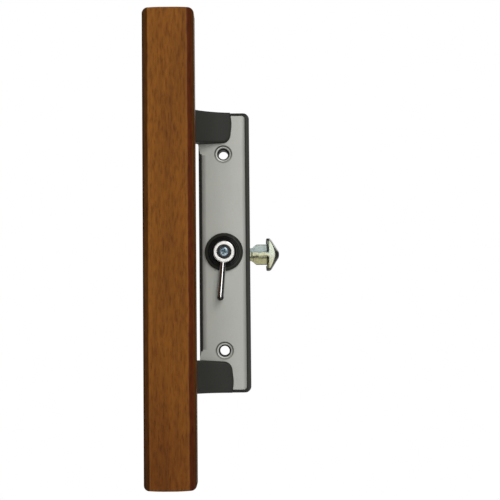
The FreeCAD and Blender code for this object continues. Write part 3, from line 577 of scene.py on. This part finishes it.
def bolt_material():
    """Chromated zinc casting: straw yellow below its ridge, bluish above, with painted shade under the
    ridge and on its edges, and a painted dark reflection on its cone.
    """
    mat, tree, bsdf = shader("yellow_zinc")
    low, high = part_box("latch_bolt")
    middle = (low.z + high.z) / 2
    here = point(tree)
    mottle = noise(tree, BOLT_MOTTLE_SCALE, 4, 0.6, 0.5)
    height = math_node(tree, "ADD", here["Z"], wander(tree, mottle, BOLT_MOTTLE_WANDER))
    level = after(tree, height, (middle - BOLT_HALF_HEIGHT, middle + BOLT_HALF_HEIGHT))
    from_middle = math_node(tree, "ABSOLUTE", math_node(tree, "SUBTRACT", here["Z"], middle))
    # Painted dark lines of shade along the fins' edges
    fin_edge = after(
        tree, from_middle, (BOLT_FIN_REACH - BOLT_LINE_WIDTH, BOLT_FIN_REACH - BOLT_LINE_WIDTH / 2))
    # Shank tones hold painted shadow under the ridge and a painted dark line of shade above it
    shank = mix(tree, fin_edge, ramp(tree, level, BOLT_SHANK_TONES), BOLT_LINE_SHADE, "MULTIPLY")
    head_x = high.x - BOLT_HEAD_LENGTH
    on_head = after(tree, here["X"], (head_x, head_x + BOLT_HEAD_BLEND))
    tint = mix(tree, on_head, shank, ramp(tree, level, BOLT_HEAD_TONES))
    tint = mix(tree, 1.0, tint, ramp(tree, mottle, BOLT_MOTTLE_TONES), "MULTIPLY")
    out = radius_from_axis(tree, "X", ((low.y + high.y) / 2, middle))
    # Painted dark lines of shade and reflection on the head's rim and back
    lines = bolt_lines(tree, from_middle, out, high.x)
    tint = mix(tree, lines, tint, BOLT_LINE_SHADE, "MULTIPLY")
    # Painted dark reflection over the head's cone
    along = times(tree, math_node(tree, "SUBTRACT", here["X"], high.x), BOLT_CONE_SLOPE)
    cone_edge = (BOLT_CONE_TIP + BOLT_CONE_EDGE[0], BOLT_CONE_TIP + BOLT_CONE_EDGE[1])
    cone = after(tree, math_node(tree, "ADD", out, along), cone_edge)
    tint = mix(tree, cone, tint, BOLT_CONE_DARK_REFLECTION, "MULTIPLY")
    bsdf.inputs["Metallic"].default_value = BOLT_METALLIC
    normal = bump(tree, mottle, BOLT_MOTTLE_DEPTH, 0.4, soft_edges(tree, BOLT_ROUNDING))
    link_looks(tree, bsdf, tint, span(tree, mottle, *BOLT_ROUGHNESS), normal)
    return mat


def black_gloss_material():
    """Moulded gloss black: painted highlights on its bevel and ring edges, and a faint painted sheen on its
    right.
    """
    mat, tree, bsdf = shader("black_plastic")
    dust = noise(tree, BEZEL_DUST_SCALE, 4, 0.6)
    swirl = noise(tree, BEZEL_SWIRL_SCALE, 3, 0.5)
    # Painted sheen on the boss's right
    across = math_node(tree, "ADD", point(tree)["X"], wander(tree, swirl, BEZEL_SHEEN_WANDER))
    painted_sheen = after(tree, across, BEZEL_SHEEN_EDGE)
    tone = mix(tree, painted_sheen, ramp(tree, dust, BEZEL_DUST_TONES), BEZEL_SHEEN_TONE)
    radius = radius_from_axis(tree)
    # Painted highlights on the ring edges, stronger where the painted sheen is
    line_strength = eased(tree, painted_sheen, 0.0, 1.0, BEZEL_LINE_FAINTEST, 1.0)
    for ring in range(BEZEL_RING_COUNT):
        ring_radius = BEZEL_BEVEL_RADIUS - ring * BEZEL_RING_WIDTH
        away = math_node(tree, "ABSOLUTE", math_node(tree, "SUBTRACT", radius, ring_radius))
        line = times(tree, before(tree, away, (BEZEL_LINE_WIDTH / 2, BEZEL_LINE_WIDTH)), line_strength)
        tone = mix(tree, line, tone, BEZEL_LINE_HIGHLIGHT)
    # Painted highlight on the outer bevel
    bevel = after(tree, radius, (BEZEL_BEVEL_RADIUS, BEZEL_BEVEL_RADIUS + BEZEL_LINE_WIDTH))
    tone = mix(tree, bevel, tone, BEZEL_BEVEL_HIGHLIGHT)
    bsdf.inputs["Specular IOR Level"].default_value = BEZEL_SHINE
    link_looks(tree, bsdf, tone, span(tree, swirl, *BEZEL_ROUGHNESS), soft_edges(tree, BEZEL_ROUNDING))
    return mat


def dress():
    """Give every CAD node its material."""
    finishes = {
        "grip_wood": wood_material(),
        "charcoal_paint": charcoal_material(),
        "silver_paint": face_material(),
        "black_plastic": black_gloss_material(),
        "chrome_plate": chrome_material(),
        "zinc_steel": plated_material("zinc_steel", ZINC_TONES, ZINC_ROUGHNESS),
        "blue_zinc_steel": screw_material(),
        "yellow_zinc": bolt_material(),
        "dark_steel": plated_material("dark_steel", DARK_STEEL_TONES, DARK_STEEL_ROUGHNESS),
    }
    slots = {row["node"]: row["material_slot"] for row in frame["record"]["subparts"]}
    for name, piece in frame["nodes"].items():
        piece.data.materials.clear()
        piece.data.materials.append(finishes[slots[name]])


def make_floor():
    """Pale round floor below the part, which fades into the background."""
    bpy.ops.mesh.primitive_circle_add(
        vertices=FLOOR_SIDES, radius=FLOOR_RADIUS, fill_type="NGON", location=(0, 0, FLOOR_Z))
    floor = bpy.context.object
    floor.name = "floor"
    mat, tree, bsdf = shader("floor")
    bsdf.inputs["Base Color"].default_value = (*FLOOR_COLOUR, 1)
    bsdf.inputs["Roughness"].default_value = FLOOR_ROUGHNESS
    coords = tree.nodes.new("ShaderNodeTexCoord")
    length = tree.nodes.new("ShaderNodeVectorMath")
    length.operation = "LENGTH"
    tree.links.new(coords.outputs["Object"], length.inputs[0])
    fade = node(
        tree, "ShaderNodeMapRange", Value=length.outputs["Value"], From_Min=FLOOR_FADE_FROM,
        From_Max=FLOOR_RADIUS, To_Min=1.0, To_Max=0.0)
    tree.links.new(fade.outputs["Result"], bsdf.inputs["Alpha"])
    floor.data.materials.append(mat)


def background(tree, colour, strength=1.0):
    """Background shader of one colour."""
    return node(tree, "ShaderNodeBackground", Color=colour, Strength=strength).outputs[0]


def mix_shaders(tree, factor, first, second):
    """Blend of two shaders."""
    made = tree.nodes.new("ShaderNodeMixShader")
    for socket, value in zip(made.inputs, (factor, first, second)):
        tree.links.new(value, socket)
    return made.outputs[0]


def make_world():
    """White backdrop for the camera, and a calm studio round the part for its light and reflections."""
    world = bpy.data.worlds.new("studio")
    bpy.context.scene.world = world
    world.use_nodes = True
    tree = world.node_tree
    tree.nodes.clear()
    output = tree.nodes.new("ShaderNodeOutputWorld")
    path = tree.nodes.new("ShaderNodeLightPath")
    direction = point(tree, "Generated")
    towards_back = node(tree, "ShaderNodeMapRange", Value=direction["Y"], From_Min=-1.0, From_Max=1.0)
    room = ramp(tree, towards_back.outputs["Result"], ROOM_LEVELS)
    room = mix(tree, before(tree, direction["Z"], ROOM_FLOOR_EDGE), room, ROOM_FLOOR_TONE)
    seen = background(tree, (1, 1, 1))
    ambient = background(tree, (1, 1, 1), AMBIENT_STRENGTH)
    glossy = math_node(tree, "MAXIMUM", path.outputs["Is Glossy Ray"], path.outputs["Is Transmission Ray"])
    unseen = mix_shaders(tree, glossy, ambient, background(tree, room))
    whole = mix_shaders(tree, path.outputs["Is Camera Ray"], unseen, seen)
    tree.links.new(whole, output.inputs[0])


def soft_box(name, spot, size, power):
    """Rectangular lamp that faces the part."""
    light = bpy.data.lights.new(name, "AREA")
    light.shape = "RECTANGLE"
    light.size, light.size_y = size
    light.energy = power
    lamp = bpy.data.objects.new(name, light)
    bpy.context.collection.objects.link(lamp)
    lamp.location = spot
    lamp.rotation_euler = (-Vector(spot)).to_track_quat("-Z", "Y").to_euler()


def make_camera():
    """Camera at the photograph's place and angle."""
    data = bpy.data.cameras.new("camera")
    data.sensor_width = SENSOR_MM
    data.lens = FOCAL_PIXELS / FRAME_PIXELS * SENSOR_MM
    data.clip_start = CAMERA_NEAR
    camera = bpy.data.objects.new("camera", data)
    bpy.context.collection.objects.link(camera)
    camera.location = CAMERA_PLACE
    turn = Euler((math.radians(90 + CAMERA_PITCH), 0, math.radians(CAMERA_YAW))).to_matrix()
    roll = Euler((0, 0, math.radians(-CAMERA_ROLL))).to_matrix()
    camera.rotation_euler = (turn @ roll).to_euler()
    bpy.context.scene.camera = camera


dress()
make_floor()
make_world()
for lamp_row in LAMPS:
    soft_box(*lamp_row)
make_camera()
bpy.context.scene.view_settings.view_transform = "Standard"
